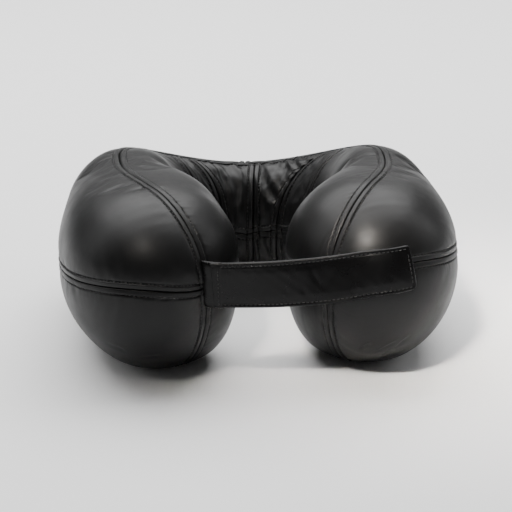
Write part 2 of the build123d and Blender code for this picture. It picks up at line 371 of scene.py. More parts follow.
# ---------------------------------------------------------------- the panels


def arm_spacing(shape, start, right, share):
    """Lengths from start to just before the pole, at these shares of the way over the surface: straight along
    the body, then by the sine of an even angle over the rounded tip. The start may differ between lines."""
    length = float(half_length(shape, right))
    base = length - shape.cap_length
    quarter_cap = shape.cap_length * (np.pi / 2 - 0.014)
    travelled = share * (base - start + quarter_cap)
    over = np.clip(travelled - (base - start), 0, None) / shape.cap_length
    return np.where(over > 0, base + shape.cap_length * np.sin(over), start + travelled)


def graded(length, seams, near, far, cell):
    """Shares of a length at which a grid has its lines: fine cells beside a sewn edge, where the groove and
    the stitches are, and coarser ones between, by adding up how many cells fit in each millimetre."""
    x = np.linspace(0, length, 2000)
    fine = np.zeros_like(x)
    for sewn, distance in ((near, x), (far, length - x)):
        if sewn:
            fine = np.maximum(fine, 1 - smooth((distance - seams.fine_reach) / seams.fine_reach))
    cells = np.cumsum(1 / cell + (1 / seams.fine_cell - 1 / cell) * fine)
    cells = (cells - cells[0]) / (cells[-1] - cells[0])
    total = length / cell + (1 / seams.fine_cell - 1 / cell) * fine.mean() * length
    return np.interp(np.linspace(0, 1, int(total) + 2), cells, x / length)


def settle(shape, start, stop, low, high, right, share, across):
    """Lengths and angles of a panel's grid between the seams start(v) and stop(v) along the horseshoe, or to
    the tip, and low(s) and high(s) round the section. The two lean on each other, so a few rounds settle
    them. Lengths always grow to the right, so that every panel faces outwards."""
    share = share[:, None]
    s = np.full((len(share), len(across)), float(start(CREST)))
    for _ in range(6):
        v = low(s) + (high(s) - low(s)) * across
        if stop is None:
            reach = arm_spacing(shape, np.abs(start(v[0])), right, share)
            s = reach if right else -reach
        else:
            s = start(v) + (stop(v) - start(v)) * share
    if stop is None and not right:
        s, v = s[::-1], v[::-1]
    return s, v


def patch(shape, seams, start, stop, low, high, right):
    """The grid of a panel, with fine cells along its sewn edges."""
    even = np.linspace(0, 1, 60)
    coarse = skin(shape, *settle(shape, start, stop, low, high, right, even, even))
    share = graded(grid_distance(coarse, 0)[-1].max(), seams, True, stop is not None, seams.row)
    across = graded(grid_distance(coarse, 1)[:, -1].max(), seams, True, True, seams.cell)
    return settle(shape, start, stop, low, high, right, share, across)


def panel_relief(seams, points, edges, seed):
    """Relief of a panel from its distance to each sewn edge: a round groove at the seam, a band raised by the
    turned allowance under it, a channel along the top stitch with the tug of every stitch, ripples that run
    away from the seams and die out, and a swell that is highest between the seams."""
    rng = np.random.default_rng(seed)
    along, across = grid_distance(points, 0), grid_distance(points, 1)
    distances = {
        "start": (along, across),
        "stop": (along[-1:] - along, across),
        "low": (across, along),
        "high": (across[:, -1:] - across, along),
    }
    stitch = seams.stitch_offset / MM
    groove, channel, band, ripples = (np.zeros(points.shape[:2]) for _ in range(4))
    nearest, second = (np.full(points.shape[:2], 1.0) for _ in range(2))
    for edge, strength in edges.items():
        distance, run = distances[edge]
        d, r = distance / MM, run / MM
        second = np.minimum(second, np.maximum(nearest, distance))
        nearest = np.minimum(nearest, distance)
        groove = np.minimum(groove, -seams.groove * np.exp(-((distance / seams.groove_width) ** 2)))
        raised = np.clip(1 - (np.clip(d / stitch, 0, 1) * 2 - 1) ** 4, 0, 1)
        band = np.maximum(band, seams.band * np.sqrt(raised))
        tug = 1 + 0.4 * np.cos(2 * np.pi * run / seams.stitch_pitch)
        beside = (distance - seams.stitch_offset) / seams.channel_width
        channel = np.minimum(channel, -seams.channel * tug * np.exp(-(beside**2)))
        here = smooth(0.5 + 0.9 * waves(rng, r, 67.0)) + 0.25
        short = waves(rng, r + 0.2 * d, 5.5) * smooth((d - 2) / 4)
        short = short * np.exp(-np.clip(d - stitch, 0, None) / 3.5)
        long = waves(rng, r - 0.5 * d, 17.0, 4) * np.exp(-d / 16.0) * smooth((d - 5) / 7)
        ripples += strength * here * MM * (0.3 * short + 0.42 * long)
    swell = seams.puff * (0.5 - np.exp(-nearest / (14 * MM)))
    return groove + channel + band * smooth(second / (8 * MM)) + ripples + swell


def nearest_edge(points):
    """Distance of each grid point from the nearest of the grid's four edges."""
    along, across = grid_distance(points, 0), grid_distance(points, 1)
    return np.minimum(np.minimum(along, along[-1:] - along), np.minimum(across, across[:, -1:] - across))


def lay_panel(shape, seams, name, grid, edges, seed, material, folds=None):
    """Builds one leather panel from its grid: the skin lifted along its normals by its relief, the cloth's
    movement and its folds, less near the ground. Keeps its surface, normals and skin for the stitches."""
    s, v = grid
    flat = skin(shape, s, v)
    normal = grid_normals(flat)
    relief = panel_relief(seams, flat, edges, seed) + stuffed(s, v)
    if folds is not None:
        relief = relief + folds(flat)
    lifted = smooth((flat[..., 2] - 1.5 * MM) / (9 * MM))
    outer = flat + normal * (relief * (0.12 + 0.88 * lifted))[..., None]
    outer[..., 2] = np.maximum(outer[..., 2], 0.05 * MM)
    depth = seams.leather + seams.groove * np.exp(-nearest_edge(flat) / (2 * MM))
    inner = flat - normal * depth[..., None]
    inner[..., 2] = np.maximum(inner[..., 2], seams.leather)
    piece = mesh_piece(name + "_leather", *closed_shell(outer, inner), material)
    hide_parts(name)
    laid[name] = outer, grid_normals(outer), flat


# ---------------------------------------------------------------- the stuffed cloth


def whole_skin(shape, rows, columns, tip):
    """A grid over the whole horseshoe, even over the surface and open by the angle tip at both poles: its
    lengths and angles, its points and its normals, which go round the section without a break."""
    lengths = []
    for right in (False, True):
        length = float(half_length(shape, right))
        base = length - shape.cap_length
        body = np.linspace(0, base, rows, endpoint=False)
        cap = base + shape.cap_length * np.sin(np.linspace(0, np.pi / 2 - tip, rows // 3))
        lengths.append(np.concatenate([body, cap]))
    s = np.concatenate([-lengths[0][::-1], lengths[1][1:]])
    v = np.linspace(-CREST, BASE, columns, endpoint=False)
    flat = skin(shape, s[:, None] + 0 * v, v + 0 * s[:, None])
    wrapped = np.concatenate([flat[:, -1:], flat, flat[:, :1]], 1)
    return s, v, flat, grid_normals(wrapped)[:, 1:-1]


def seam_points(shape, seams):
    """Points all along every seam, a few millimetres apart."""
    lines = seam_lines(shape, seams)
    s = np.linspace(-float(half_length(shape, False)), float(half_length(shape, True)), 240) * 0.999
    found = [skin(shape, s, lines[name](s)) for name in ("crest", "base", "outer_waist", "inner_waist")]
    v = np.linspace(CREST, BASE, 60)
    crossing = ("left_far", "left_near", "centre", "right_near", "right_far")
    found += [skin(shape, lines[name](v), v) for name in crossing]
    v = np.linspace(-CREST, CREST, 60)
    return np.concatenate([*found, skin(shape, 0 * v, v)])


def pinned(points, seams_at):
    """How firmly the seams hold each point: fully within two millimetres of the nearest one, no longer at
    seven. The points go in blocks, to save memory."""
    blocks = np.array_split(points, 60)
    nearest = [np.linalg.norm(block[:, None] - seams_at, axis=2).min(1) for block in blocks]
    return smooth((7 * MM - np.concatenate(nearest)) / (5 * MM))


def settle_cloth(shape, seams):
    """Fills the cover: a stiff cloth held at its seams, with a little ease, is blown up by the filling's
    pressure for twenty frames. Returns how far each point of the grid has moved outwards."""
    s, v, flat, normal = whole_skin(shape, 62, 84, 0.05)
    points, faces = closed_tube(flat)
    bag = mesh_piece("stuffed_bag", points, faces, cover_material(settings()[3]), None)
    hold = bag.vertex_groups.new(name="seams")
    strength = pinned(points, seam_points(shape, seams))
    strength[-2:] = 1.0
    for tenths in range(1, 11):
        chosen = np.flatnonzero(np.ceil(strength * 10) == tenths)
        hold.add(chosen.tolist(), tenths / 10, "REPLACE")
    cloth = bag.modifiers.new("filling", "CLOTH")
    cloth.point_cache.frame_start, cloth.point_cache.frame_end = 1, FRAMES
    cloth.settings.quality = 6
    cloth.settings.mass = 0.2
    cloth.settings.tension_stiffness = cloth.settings.compression_stiffness = 25
    cloth.settings.bending_stiffness = 6
    cloth.settings.shrink_min = -0.004
    cloth.settings.use_pressure = True
    cloth.settings.uniform_pressure_force = 4
    cloth.settings.effector_weights.gravity = 0
    cloth.settings.vertex_group_mass = "seams"
    for moment in range(1, FRAMES + 1):
        bpy.context.scene.frame_set(moment)
    shown = bag.evaluated_get(bpy.context.evaluated_depsgraph_get()).data
    blown = np.empty(len(points) * 3, np.float32)
    shown.vertices.foreach_get("co", blown)
    bpy.data.objects.remove(bag)
    bpy.context.scene.frame_set(1)
    cap = 2.5 * MM
    moved = ((blown.reshape(-1, 3)[:-2].reshape(flat.shape) - flat) * normal).sum(-1)
    return s, v, np.clip(moved, -cap, cap)


def stuffed(s, v):
    """Movement of the blown-up cloth at these lengths and angles, between the four nearest grid points."""
    if "cloth" not in laid:
        return np.zeros_like(s)
    rows, columns, moved = laid["cloth"]
    i = np.clip(np.interp(s, rows, np.arange(len(rows))), 0, len(rows) - 1.001)
    j = (v - columns[0]) / (columns[1] - columns[0])
    a, b = i.astype(int), np.floor(j).astype(int)
    u, w = i - a, j - b
    b, c = b % len(columns), (b + 1) % len(columns)
    low = moved[a, b] * (1 - w) + moved[a, c] * w
    high = moved[a + 1, b] * (1 - w) + moved[a + 1, c] * w
    return low * (1 - smooth(u)) + high * smooth(u)


# ---------------------------------------------------------------- the stitches


def stitch_form(seams):
    """One stitch along X: five rings of six points round an arch whose ends dive into the leather."""
    t = np.linspace(-1, 1, 5)[:, None]
    round_ = np.linspace(0, 2 * np.pi, 6, endpoint=False)[None, :]
    thick = seams.thread / 2 * np.sqrt(1 - 0.75 * t**4)
    x = t * seams.stitch_length / 2 + 0 * round_
    y = thick * np.cos(round_)
    z = thick * np.sin(round_) + seams.thread * (0.7 - 1.1 * t**2)
    rings = grid_faces(5, 7)
    wrap = rings // 7 * 6 + rings % 7 % 6
    ends = np.array([[0, 1, 2, 3], [0, 3, 4, 5], [24, 27, 26, 25], [24, 29, 28, 27]])
    return np.stack([x, y, z], -1).reshape(-1, 3), np.concatenate([wrap[:, ::-1], ends[:, ::-1]])


def spread_stitches(seams, points, normals):
    """Places, directions and normals of the stitches along a line, one pitch apart."""
    run = grid_distance(points, 0)
    count = int(run[-1] / seams.stitch_pitch)
    at = (np.arange(count) + 0.5) * seams.stitch_pitch
    half = seams.stitch_length / 2

    def on_line(values, where):
        """Values at distances along the line, each coordinate by itself."""
        return np.stack([np.interp(where, run, values[:, k]) for k in range(3)], -1)

    direction = on_line(points, at + half) - on_line(points, at - half)
    direction /= np.maximum(np.linalg.norm(direction, axis=1, keepdims=True), 1e-9)
    return on_line(points, at), direction, on_line(normals, at)


def offset_line(laid_panel, edge, offset, trim=3.0 * MM):
    """The line on a laid panel at a distance from one of its edges, without its last stretch at both ends."""
    outer, normal, flat = laid_panel
    if edge in ("start", "stop"):
        outer, normal, flat = (np.swapaxes(a, 0, 1) for a in (outer, normal, flat))
    if edge in ("high", "stop"):
        outer, normal, flat = (a[:, ::-1] for a in (outer, normal, flat))
    distance = grid_distance(flat, 1)
    wide = distance[:, -1] > 2 * offset + 1.0 * MM
    outer, normal, flat, distance = outer[wide], normal[wide], flat[wide], distance[wide]
    column = np.clip((distance < offset).sum(1), 1, distance.shape[1] - 1)
    row = np.arange(len(column))
    before, after = distance[row, column - 1], distance[row, column]
    share = ((offset - before) / np.maximum(after - before, 1e-9))[:, None]
    points = outer[row, column - 1] * (1 - share) + outer[row, column] * share
    run = grid_distance(points, 0)
    keep = (run > trim) & (run < run[-1] - trim)
    return points[keep], normal[row, column][keep]


def stitch_piece(name, rows, seams, material, body="pillow"):
    """All the stitches of some rows as one piece: the stitch form set along each row."""
    form, faces = stitch_form(seams)
    places = [np.concatenate(part) for part in zip(*(spread_stitches(seams, *row) for row in rows))]
    centre, along, up = places
    side = np.cross(up, along)
    side /= np.maximum(np.linalg.norm(side, axis=1, keepdims=True), 1e-9)
    up = np.cross(along, side)
    basis = np.stack([along, side, up], 1)
    points = centre[:, None, :] + np.einsum("fk,nkc->nfc", form, basis)
    shift = (np.arange(len(centre)) * len(form))[:, None, None]
    points[..., 2] = np.maximum(points[..., 2], 0.02 * MM)
    return mesh_piece(name, points.reshape(-1, 3), (faces[None] + shift).reshape(-1, 4), material, body)


# ---------------------------------------------------------------- the panels' places


def settings():
    """The scene's sizes, as the operators and the panel share them."""
    scene = bpy.context.scene
    return scene.pillow_shape, scene.pillow_seams, scene.pillow_strap, scene.pillow_finish


def fixed(value):
    """A seam at one length along the horseshoe, in metres, whatever the section angle."""
    return lambda v: np.full_like(np.asarray(v, float), value)


def level(angle):
    """A seam at one section angle, whatever the length."""
    return lambda s: np.full_like(np.asarray(s, float), angle)


def seam_lines(shape, seams):
    """Every seam of the cover: round the section as functions of the length, across it of the angle."""
    centre = seams.centre / MM
    return {
        "outer_waist": lambda s: outer_waist(shape, seams, s),
        "inner_waist": lambda s: inner_waist(shape, seams, s),
        "crest": level(CREST),
        "base": level(BASE),
        "outer_base": level(-CREST),
        "back": fixed(0.0),
        "centre": cross_seam(centre, centre, 1),
        "left_near": cross_seam(-50, -29, 2),
        "left_far": cross_seam(-65, -56, 1),
        "right_near": cross_seam(80, 38, 2),
        "right_far": cross_seam(94, 76, 1),
    }


def creases(segments, depth, width):
    """A few single creases: sharp valleys with a soft lip along slightly bowed segments in the front view,
    given by their ends as x and z in millimetres, that fade at both ends and stay on the pillow's front."""

    def relief(flat):
        """Depth of all the creases at the skin's points."""
        x, front, z = flat[..., 0] / MM, flat[..., 1] < -60 * MM, flat[..., 2] / MM
        total = np.zeros_like(x)
        for (x0, z0), (x1, z1) in segments:
            run = np.array([x1 - x0, z1 - z0])
            length = np.hypot(*run)
            run = run / length
            t = (x - x0) * run[0] + (z - z0) * run[1]
            bow = 1.2 * np.sin(np.pi * np.clip(t / length, 0, 1))
            d = (z - z0) * run[0] - (x - x0) * run[1] - bow
            fade = smooth(t / (0.3 * length)) * smooth((length - t) / (0.3 * length))
            total += fade * (0.45 * np.exp(-(((d - 1.6 * width) / width) ** 2)) - np.exp(-((d / width) ** 2)))
        return depth * MM * np.where(front, total, 0.0)

    return relief


def outer_panels(shape, seams, material):
    """The four long panels outside the crest: from the back seam to a tip, above and below the waist."""
    lines = seam_lines(shape, seams)
    right_folds = (((80, 19), (101, 36)), ((88, 17), (97, 25)), ((72, 24), (80, 33)), ((96, 24), (108, 38)))
    left_folds = (((-92, 22), (-70, 27)), ((-112, 33), (-96, 30)))
    folds = {
        "outer_lower_right": creases(right_folds, 0.8, 1.1),
        "outer_lower_left": creases(left_folds, 0.5, 1.4),
    }
    for seed, (hand, right) in enumerate((("left", False), ("right", True))):
        for tier, low, high in (("upper", "outer_waist", "crest"), ("lower", "outer_base", "outer_waist")):
            name = f"outer_{tier}_{hand}"
            grid = patch(shape, seams, lines["back"], None, lines[low], lines[high], right)
            edges = {"low": 0.5, "high": 0.6, "start" if right else "stop": 0.6}
            lay_panel(shape, seams, name, grid, edges, 11 + seed, material, folds.get(name))


# The panels on the neck's side: their tier, the seams below and above it in angle, and their seed.
INNER_TIERS = (("upper", "crest", "inner_waist", 0), ("lower", "inner_waist", "base", 50))


def arm_panels(shape, seams, material):
    """The four inner panels of the arms: from the far cross seam round the neck's side to a tip."""
    lines = seam_lines(shape, seams)
    for hand, right in (("left", False), ("right", True)):
        for tier, low, high, seed in INNER_TIERS:
            name = f"arm_{tier}_{hand}"
            grid = patch(shape, seams, lines[f"{hand}_far"], None, lines[low], lines[high], right)
            edges = {"low": 0.8, "high": 0.6, "start" if right else "stop": 1.1}
            lay_panel(shape, seams, name, grid, edges, 21 + seed + right, material)


def gather(seed, depth, slant):
    """Folds gathered along the seams of a gore: single rounded ridges of uneven length and width that run
    from the crest towards the waist, leaning by the slant."""

    def relief(flat):
        """Height of all the folds at the gore's points: bell curves about their lines."""
        rng = np.random.default_rng(seed)
        along, across = grid_distance(flat, 0) / MM, grid_distance(flat, 1) / MM
        height, width = across[:, -1].max(), along[-1].max()
        total = np.zeros_like(along)
        for place in np.arange(5.0, width - 3, 7.5):
            centre = place + rng.uniform(-1.5, 1.5) + slant * (across - height / 2) * rng.uniform(0.5, 1.3)
            centre = centre + 1.0 * np.sin(across / rng.uniform(13, 20) + rng.uniform(0, 6))
            thick = rng.uniform(1.8, 3.2)
            middle, reach = height * rng.uniform(0.3, 0.6), height * rng.uniform(0.22, 0.42)
            fade = np.exp(-(((across - middle) / reach) ** 4))
            d = (along - centre) / thick
            total += rng.uniform(0.5, 1.0) * fade * (np.exp(-(d**2)) - 0.45 * np.exp(-((d - 1.9) ** 2)))
        return depth * MM * total

    return relief


def gore_panels(shape, seams, material):
    """The eight gathered gores behind and beside the neck, each between two cross seams."""
    lines = seam_lines(shape, seams)
    places = (
        ("side_gore", "left", "left_far", "left_near", 0.25),
        ("neck_gore", "left", "left_near", "centre", -0.35),
        ("neck_gore", "right", "centre", "right_near", 0.35),
        ("side_gore", "right", "right_near", "right_far", -0.25),
    )
    for count, (kind, hand, start, stop, slant) in enumerate(places):
        for tier, low, high, seed in INNER_TIERS:
            name = f"{kind}_{tier}_{hand}"
            grid = patch(shape, seams, lines[start], lines[stop], lines[low], lines[high], hand == "right")
            edges = {"low": 0.5, "high": 0.5, "start": 0.5, "stop": 0.5}
            folds = gather(70 + count + seed, 1.9 if kind == "neck_gore" else 0.8, slant)
            lay_panel(shape, seams, name, grid, edges, 31 + count + seed, material, folds)


def seam_rows(seams, wanted):
    """Lines of top stitches for a list of panel edges."""
    return [offset_line(laid[name], edge, seams.stitch_offset) for name, edge in wanted]


def stitch_cover(seams, material):
    """Top stitches on both sides of every seam of the cover."""
    hands, kinds = ("left", "right"), ("arm", "side_gore", "neck_gore")
    inner = [(kind, hand) for kind in kinds for hand in hands]
    crest = [(f"outer_upper_{h}", "high") for h in hands] + [(f"{k}_upper_{h}", "low") for k, h in inner]
    base = [(f"outer_lower_{h}", "low") for h in hands] + [(f"{k}_lower_{h}", "high") for k, h in inner]
    waist = [(f"outer_upper_{h}", "low") for h in hands] + [(f"outer_lower_{h}", "high") for h in hands]
    neck = [(f"{k}_upper_{h}", "high") for k, h in inner] + [(f"{k}_lower_{h}", "low") for k, h in inner]
    cross = []
    for tier in ("upper", "lower"):
        cross += [(f"arm_{tier}_left", "stop"), (f"arm_{tier}_right", "start")]
        cross += [(f"outer_{tier}_left", "stop"), (f"outer_{tier}_right", "start")]
        for kind in ("side_gore", "neck_gore"):
            cross += [(f"{kind}_{tier}_{hand}", edge) for hand in hands for edge in ("start", "stop")]
    for name, wanted in zip(
        ("crest_stitches", "base_stitches", "waist_stitches", "neck_stitches", "cross_stitches"),
        (crest, base, waist, neck, cross),
    ):
        stitch_piece(name, seam_rows(seams, wanted), seams, material)


# ---------------------------------------------------------------- the strap


def unit(vectors):
    """Vectors over their own lengths."""
    return vectors / np.linalg.norm(vectors, axis=-1, keepdims=True)


def on_right_tip(shape, strap, angle, height):
    """Point, outward normal and running direction on the right arm, where its rounded end has turned by the
    angle from its base: the normal is the cross product of the steps along the skin and up its section."""
    p = half_length(shape, True) - shape.cap_length * (1 - np.sin(angle))
    rise = (shape.tip_top - shape.tip_waist) * np.cos(angle)
    v = np.arcsin(((height - shape.tip_waist) / rise) ** (shape.upper_power / 2))
    step = 1e-5
    along = skin(shape, p - step, v) - skin(shape, p + step, v)
    up = skin(shape, p, v + step) - skin(shape, p, v - step)
    run = unit(along * (1, 1, 0))
    run[..., 2] = strap.slope
    return skin(shape, p, v), unit(np.cross(along, up)), unit(run)


def strap_layout(shape, strap):
    """Where the strap leaves the left tip, where it first touches the right arm, and how far that is: the
    touch is where the straight strap and the arm run the same way."""
    left = -half_length(shape, False)
    here, before = (middle_line(shape, np.array([left + d]))[0][0] for d in (0.0, 1e-5))
    tip_out = unit(here - before)
    origin = pillow_origin(shape)
    thickness = strap.face + strap.lining
    stand = strap.loop_tape + strap.tape_gap + strap.hook_tape + 0.05 * MM
    root = here - origin + tip_out * strap.root_outside
    root[2] = strap.root_height
    angle = np.radians(np.linspace(25, 70, 400))
    height = np.full_like(angle, strap.tip_height - strap.slope * strap.lap)
    point, normal, run = on_right_tip(shape, strap, angle, height)
    straight = point + normal * stand - root
    turned = straight[:, 0] * run[:, 1] - straight[:, 1] * run[:, 0]
    touch = float(np.interp(0, -turned, angle))
    point, normal, run = on_right_tip(shape, strap, np.array([touch]), height[:1])
    span = point[0] + normal[0] * stand - root
    flat = unit(np.array([span[1], -span[0], 0.0]))
    turn = abs(float(np.cross(tip_out, run[0])[2]))
    room = thickness / 2 * turn + strap.width / 2 * strap.slope + 0.3 * MM
    return {
        "root": root, "tip_out": tip_out, "touch": touch, "level": point[0] + normal[0] * stand,
        "normal": normal[0], "flat": flat, "run": unit(span), "stand": stand, "thickness": thickness,
        "start": room - float(np.linalg.norm(span)), "peel": -strap.peel,
    }


def strap_frame(shape, strap, layout, d):
    """Inner face, normal and running direction of the strap at the lengths d from where it touches the arm:
    straight before that, with a slow twist from upright to the arm's slope, and on the arm after it."""
    lapped = np.clip(d, 0, None)
    height = strap.tip_height - strap.slope * (strap.lap - lapped)
    point, normal, run = on_right_tip(shape, strap, layout["touch"] - lapped / shape.cap_length, height)
    on_arm = point + normal * layout["stand"]
    back = np.clip(d / layout["start"], 0, 1)[:, None]
    twist = unit(layout["normal"] * (1 - smooth(back)) + layout["flat"] * smooth(back))
    straight = layout["level"] + layout["run"] * np.minimum(d, 0)[:, None]
    straight = straight - twist * layout["thickness"] / 2 * back
    straight[:, 2] -= strap.sag * np.sin(np.pi * back[:, 0])
    pairs = ((straight, on_arm), (twist, normal), (layout["run"], run))
    return tuple(np.where((d <= 0)[:, None], before, after) for before, after in pairs)


def on_strap(shape, strap, layout, d, y):
    """Points and normals of the strap's inner face at the lengths d and, in each row, the places y across.
    Where it lies on the arm it hugs the arm's roundness by three quarters: it leans by y over the radius and
    drops by the square of y over twice the radius."""
    point, normal, run = strap_frame(shape, strap, layout, d)
    up = unit(np.cross(normal, run))[:, None]
    hug = 0.75 * smooth((d + 25 * MM) / (30 * MM))[:, None] * y / shape.cap_length
    drop = normal[:, None] * (hug * y / 2)[..., None]
    return point[:, None] + up * y[..., None] - drop, unit(normal[:, None] + up * hug[..., None])


def risen(strap, d):
    """How far the lower edge has risen at the lengths d: the taper, eased in on both sides of the touch."""
    return strap.taper * smooth((d + 30 * MM) / (60 * MM))


def strap_grid(shape, strap, layout, first, last, width, cell, corners=None):
    """Inner face of a strap layer as a grid: lengths times places across, with rounded corners at the free
    end. Returns points, normals and both coordinates."""
    rows, columns = int((last - first) / cell) + 2, int(width / cell) + 2
    d = np.linspace(first, last, rows)
    lower, upper = (np.full(rows, width / 2) for _ in range(2))
    if corners is not None:
        left = last - d
        lower, upper = (
            half - r + np.sqrt(np.clip(r**2 - np.clip(r - left, 0, None) ** 2, 0, None))
            for half, r in zip((lower, upper), corners)
        )
    lower = lower - risen(strap, d)
    t = np.linspace(0, 1, columns)[None, :]
    y = -lower[:, None] * (1 - t) + upper[:, None] * t
    return *on_strap(shape, strap, layout, d, y), d[:, None] + 0 * y, y


def strap_relief(strap, d, y, last, seed):
    """Relief of the strap's face from its distance to the nearest edge: a round painted edge, a channel along
    the stitches and a soft crown between them, with faint crossed ripples and three creases near the arm."""
    rng = np.random.default_rng(seed)
    lower = strap.width / 2 - risen(strap, d)
    edge = np.minimum(np.minimum(strap.width / 2 - y, lower + y), last - d) / MM
    inset = strap.inset / MM
    roll = -0.8 * np.exp(-((edge / 0.45) ** 2)) + 0.3 * np.exp(-(((edge - 1.1) / 0.7) ** 2))
    channel = -0.42 * np.exp(-(((edge - inset) / 0.5) ** 2))
    crown = 0.35 * smooth((edge - inset - 0.4) / 6)
    run, rise = d / MM, y / MM
    creases = 0.2 * waves(rng, run + 0.5 * rise, 9.0) * waves(rng, rise - 0.3 * run, 21.0, 3)
    bend = -0.2 * np.exp(-(((run + 38 + 0.45 * rise) / 2.2) ** 2)) * smooth((rise + 12) / 14)
    bend += -0.13 * np.exp(-(((run + 29 - 0.6 * rise) / 1.8) ** 2)) * smooth((rise + 9) / 12)
    bend += -0.12 * np.exp(-(((run + 50 + 0.3 * rise) / 1.6) ** 2)) * smooth((6 - rise) / 10)
    return (roll + channel + crown + (creases + bend) * smooth((edge - inset) / 4)) * MM


def strap_piece(name, outer, inner, material, nodes):
    """A layer of the strap that runs over the place where the free end peels."""
    piece = mesh_piece(name, *closed_shell(outer, inner), material, None)
    bend_strap(piece)
    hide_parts(*nodes)


def bend_strap(piece):
    """Bakes a strap piece's place into its mesh, with no body to hang on."""
    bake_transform(piece)


def build_strap(shape, seams, strap, materials):
    """The strap's face and lining, its edge stitches, its tapes and its sewn root."""
    layout = strap_layout(shape, strap)
    cell = 0.9 * MM
    first, last = layout["start"], strap.lap + strap.overlap
    ends = (first, last, strap.width, cell, (5.0 * MM, 2.5 * MM))
    points, lean, d, y = strap_grid(shape, strap, layout, *ends)
    relief = strap_relief(strap, d, y, last, 5)[..., None]
    lining = points + lean * strap.lining
    face = points + lean * (layout["thickness"] + relief)
    nodes = ("strap_band_face", "strap_end_face")
    strap_piece("strap_face", face, lining, materials["strap"], nodes)
    nodes = ("strap_band_lining", "strap_end_lining")
    edge = (strap.width / 2 - np.abs(y)) / (0.8 * MM)
    below = points + lean * (0.15 * MM * np.exp(-(edge**2)))[..., None]
    strap_piece("strap_under", lining, below, materials["lining"], nodes)
    strap_stitches(shape, seams, strap, layout, materials["thread"])
    tapes(shape, strap, layout, materials["tape"])
    strap_root(shape, seams, strap, layout, materials)


def strap_stitches(shape, seams, strap, layout, material):
    """Rows of stitches inside the strap's long edges and its free end, the lower one following the taper."""
    last = strap.lap + strap.overlap - strap.inset
    d = np.linspace(layout["start"] + 6 * MM, last, 300)
    top = np.full_like(d, strap.width / 2 - strap.inset)
    low = risen(strap, d) - top
    y = np.linspace(low[-1] + 2 * MM, top[-1] - 1 * MM, 40)
    rows = [
        strap_line(shape, strap, layout, d, top),
        strap_line(shape, strap, layout, d, low),
        strap_line(shape, strap, layout, np.full_like(y, last), y),
    ]
    piece = stitch_piece("strap_stitches", rows, seams, material, None)
    bend_strap(piece)


def strap_line(shape, strap, layout, d, y):
    """Points and normals just below the strap's face, at the lengths d and the places y across."""
    points, lean = on_strap(shape, strap, layout, d, y[:, None])
    return (points + lean * (layout["thickness"] - 0.25 * MM))[:, 0], lean[:, 0]


def tapes(shape, strap, layout, material):
    """The hook tape under the free end and the loop tape on the arm, each a thin pile with a soft edge."""
    stop = strap.lap - strap.tape_margin
    span = (stop - strap.tape_length, stop, strap.tape_height, 1.2 * MM)
    points, lean, d, y = strap_grid(shape, strap, layout, *span)
    pile = 0.06 * MM * waves(np.random.default_rng(8), (d + 1.7 * y) / MM, 1.9)[..., None]
    hook = mesh_piece(
        "hook_tape", *closed_shell(points, points - lean * (strap.hook_tape + pile)), material, "strap_end"
    )
    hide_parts("hook_patch")
    low = points - lean * (layout["stand"] - strap.loop_tape)
    loop = mesh_piece("loop_tape", *closed_shell(low + lean * pile, low - lean * 1.6 * MM), material)
    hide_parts("loop_patch")


def strap_root(shape, seams, strap, layout, materials):
    """The folded root: a flat sleeve that comes out of the tip seam and bends onto the strap's beginning,
    along a quadratic curve drawn towards the seam's mouth, with one row of stitches up its end."""
    reach = layout["start"] + 7.5 * MM
    end, flat, _ = (a[0] for a in strap_frame(shape, strap, layout, np.array([reach])))
    begin = layout["root"] - layout["tip_out"] * 8.5 * MM
    end = end + flat * layout["thickness"] / 2
    t = np.linspace(0, 1, 26)[:, None]
    line = begin * (1 - t) ** 2 + 2 * layout["root"] * t * (1 - t) + end * t**2
    direction = unit(np.gradient(line, axis=0))
    normal = unit(np.cross(direction, (0, 0, 1)))
    up = unit(np.cross(normal, direction))
    half = strap.width / 2 + 0.5 * MM
    y = np.linspace(-half, half, 44)
    soft = np.sqrt(np.clip(1 - (np.abs(y) / half) ** 8, 0.02, 1))[None, :, None]
    end_roll = np.sqrt(np.clip(1 - t**24, 0.05, 1))[:, None]
    crease = 0.25 * MM * waves(np.random.default_rng(4), y / MM, 9.0)[None, :, None] * (1 - t[:, None])
    middle = line[:, None] + up[:, None] * y[None, :, None]
    thick = (layout["thickness"] / 2 + 0.75 * MM) * soft * end_roll
    outer = middle + normal[:, None] * (thick + crease)
    inner = middle - normal[:, None] * thick
    piece = mesh_piece("strap_root_fold", *closed_shell(outer, inner), materials["strap"], None)
    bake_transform(piece)
    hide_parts("strap_root")
    seam = outer[-5, 3:-3]
    rows = [(seam, np.repeat(normal[-5:-4], len(seam), 0))]
    stitch_piece("root_stitches", rows, seams, materials["thread"], "strap")


# ---------------------------------------------------------------- materials


def new_material(name, colour, roughness):
    """A material with one shader, its node tree, the shader and a maker of linked nodes."""
    material = bpy.data.materials.new(name)
    material.use_nodes = True
    tree = material.node_tree
    shader = tree.nodes["Principled BSDF"]
    shader.inputs["Base Color"].default_value = (*colour, 1)
    shader.inputs["Roughness"].default_value = roughness

    def node(kind, **inputs):
        """A new node. An input is a value, or a socket that it is linked from."""
        made = tree.nodes.new(kind)
        for key, value in inputs.items():
            socket = made.inputs[key.replace("_", " ")]
            if isinstance(value, bpy.types.NodeSocket):
                tree.links.new(value, socket)
            else:
                socket.default_value = value
        return made

    return material, tree, shader, node


